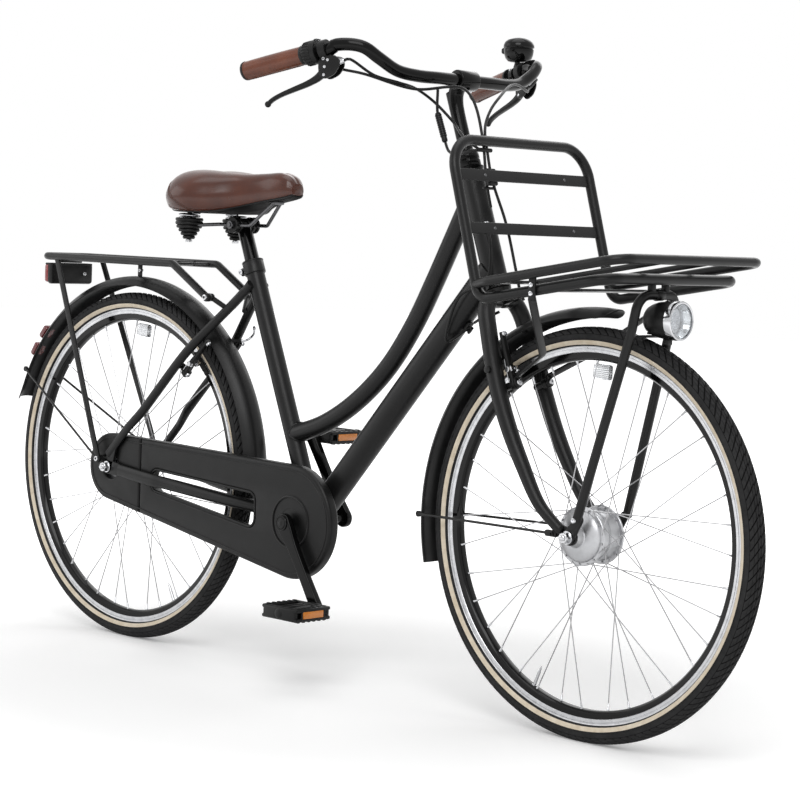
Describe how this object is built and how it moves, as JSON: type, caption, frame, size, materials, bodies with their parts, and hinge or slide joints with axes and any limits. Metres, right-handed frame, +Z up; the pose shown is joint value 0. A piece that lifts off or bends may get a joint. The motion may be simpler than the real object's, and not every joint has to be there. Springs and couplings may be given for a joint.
{
  "type": "city bicycle",
  "caption": "Step-through city bicycle with a curved top tube, closed chain case, rear carrier, fork-mounted front carrier, rim brakes, lamps and a brown saddle and grips.",
  "frame": {"origin": "on the ground, below the middle of the bounding box", "axes": "+X forward, +Y to the rider's left, +Z up"},
  "size_m": [1.9132, 0.623, 1.203],
  "materials": {
    "frame_paint": "fine matt black powder coat",
    "gloss_paint": "glossy black paint",
    "black_plastic": "satin black plastic",
    "gloss_plastic": "glossy black plastic",
    "tyre_rubber": "matt black rubber with a block tread",
    "cable_sleeve": "black cable sleeve",
    "silver_alloy": "bright machined alloy",
    "spoke_steel": "bright stainless wire",
    "brown_leather": "chestnut brown, slightly glossy, stitched",
    "dark_steel": "dark steel",
    "clear_lens": "clear faceted lens",
    "chrome_trim": "polished bolts, ring and barrels",
    "red_lens": "red reflector",
    "amber_lens": "amber reflector",
    "cream_stripe": "cream reflecting stripe on the tyre wall"
  },
  "bodies": {
    "frame": {"head_tube": "frame_paint", "seat_tube": "frame_paint", "bottom_bracket_shell": "frame_paint", "down_tube": "frame_paint", "top_tube": "frame_paint", "chain_stay_left": "frame_paint", "chain_stay_right": "frame_paint", "seat_stay_left": "frame_paint", "seat_stay_right": "frame_paint", "seat_clamp": "frame_paint", "chain_case": "black_plastic", "chain_case_rear_cover": "black_plastic", "chain": "dark_steel", "rear_fender": "frame_paint", "rear_rack": "frame_paint", "rear_lamp": "black_plastic", "rear_axle": "silver_alloy", "frame_cables": "cable_sleeve"},
    "fork": {"fork": "frame_paint", "front_fender": "frame_paint", "stem": "gloss_paint", "handlebar": "gloss_paint", "grip_left": "brown_leather", "grip_right": "brown_leather", "brake_mount_left": "black_plastic", "brake_mount_right": "black_plastic", "bell": "gloss_plastic", "front_rack": "frame_paint", "front_rack_loop": "frame_paint", "front_rack_struts": "frame_paint", "headlamp": "gloss_plastic", "headlamp_lens": "clear_lens", "bar_cables": "cable_sleeve", "front_axle": "silver_alloy"},
    "front_wheel": {"front_tyre": "tyre_rubber", "front_rim": "silver_alloy", "front_spokes_left": "spoke_steel", "front_spokes_right": "spoke_steel", "front_hub": "silver_alloy"},
    "rear_wheel": {"rear_tyre": "tyre_rubber", "rear_rim": "silver_alloy", "rear_spokes_left": "spoke_steel", "rear_spokes_right": "spoke_steel", "rear_hub": "silver_alloy"},
    "crank": {"crank_left": "frame_paint", "crank_right": "frame_paint"},
    "pedal_left": {"pedal_left": "black_plastic"},
    "pedal_right": {"pedal_right": "black_plastic"},
    "seat": {"seat_post": "gloss_paint", "saddle": "brown_leather", "saddle_spring_left": "black_plastic", "saddle_spring_right": "black_plastic", "saddle_frame": "dark_steel"},
    "lever_left": {"brake_lever_left": "black_plastic"},
    "lever_right": {"brake_lever_right": "black_plastic"},
    "front_arm_left": {"front_brake_arm_left": "black_plastic"},
    "front_arm_right": {"front_brake_arm_right": "black_plastic"},
    "rear_arm_left": {"rear_brake_arm_left": "black_plastic"},
    "rear_arm_right": {"rear_brake_arm_right": "black_plastic"},
    "shifter": {"twist_shifter": "black_plastic"}
  },
  "joints": [
    {"name": "steering", "type": "hinge", "parent": "frame", "child": "fork", "pos_m": [0.52553, 0, 0.34782], "axis": [-0.3486, 0, 0.9373], "range_deg": [-60, 60]},
    {"name": "front_wheel_spin", "type": "hinge", "parent": "fork", "child": "front_wheel", "pos_m": [0.60875, 0, 0.34782], "axis": [0, 1, 0], "continuous": true},
    {"name": "rear_wheel_spin", "type": "hinge", "parent": "frame", "child": "rear_wheel", "pos_m": [-0.59125, 0, 0.34782], "axis": [0, 1, 0], "continuous": true},
    {"name": "crank_spin", "type": "hinge", "parent": "frame", "child": "crank", "pos_m": [-0.05925, 0, 0.29632], "axis": [0, 1, 0], "continuous": true},
    {"name": "pedal_left_spin", "type": "hinge", "parent": "crank", "child": "pedal_left", "pos_m": [-0.15457, 0, 0.44308], "axis": [0, 1, 0], "continuous": true},
    {"name": "pedal_right_spin", "type": "hinge", "parent": "crank", "child": "pedal_right", "pos_m": [0.03606, 0, 0.14955], "axis": [0, 1, 0], "continuous": true},
    {"name": "seat_height", "type": "slide", "parent": "frame", "child": "seat", "axis": [-0.3827, 0, 0.9239], "range_m": [-0.02, 0.05]},
    {"name": "brake_lever_left_pull", "type": "hinge", "parent": "fork", "child": "lever_left", "pos_m": [0.19279, 0.25164, 1.11434], "axis": [0.2629, 0.9648, 0], "range_deg": [0, 14], "stiffness_Nm_per_rad": 1.5, "springref_deg": -5.73},
    {"name": "brake_lever_right_pull", "type": "hinge", "parent": "fork", "child": "lever_right", "pos_m": [0.19279, -0.25164, 1.11434], "axis": [-0.2629, 0.9648, 0], "range_deg": [0, 14], "stiffness_Nm_per_rad": 1.5, "springref_deg": -5.73},
    {"name": "front_arm_left_swing", "type": "hinge", "parent": "fork", "child": "front_arm_left", "pos_m": [0.46059, 0.041, 0.59128], "axis": [0.9373, 0, 0.3486], "range_deg": [0, 4]},
    {"name": "front_arm_right_swing", "type": "hinge", "parent": "fork", "child": "front_arm_right", "pos_m": [0.46059, -0.041, 0.59128], "axis": [-0.9373, 0, -0.3486], "range_deg": [0, 4]},
    {"name": "rear_arm_left_swing", "type": "hinge", "parent": "frame", "child": "rear_arm_left", "pos_m": [-0.39087, 0.041, 0.55048], "axis": [0.7131, 0, -0.701], "range_deg": [0, 4]},
    {"name": "rear_arm_right_swing", "type": "hinge", "parent": "frame", "child": "rear_arm_right", "pos_m": [-0.39087, -0.041, 0.55048], "axis": [-0.7131, 0, 0.701], "range_deg": [0, 4]},
    {"name": "twist_shifter_turn", "type": "hinge", "parent": "fork", "child": "shifter", "pos_m": [0.16275, -0.25982, 1.13791], "axis": [0.9398, 0.2561, 0.2261], "range_deg": [-45, 90]}
  ],
  "couplings": [
    {"joint": "crank_spin", "follows": "rear_wheel_spin", "ratio": 0.47368},
    {"joint": "front_arm_left_swing", "follows": "brake_lever_left_pull", "ratio": 0.285},
    {"joint": "front_arm_right_swing", "follows": "brake_lever_left_pull", "ratio": 0.285},
    {"joint": "rear_arm_left_swing", "follows": "brake_lever_right_pull", "ratio": 0.285},
    {"joint": "rear_arm_right_swing", "follows": "brake_lever_right_pull", "ratio": 0.285}
  ]
}
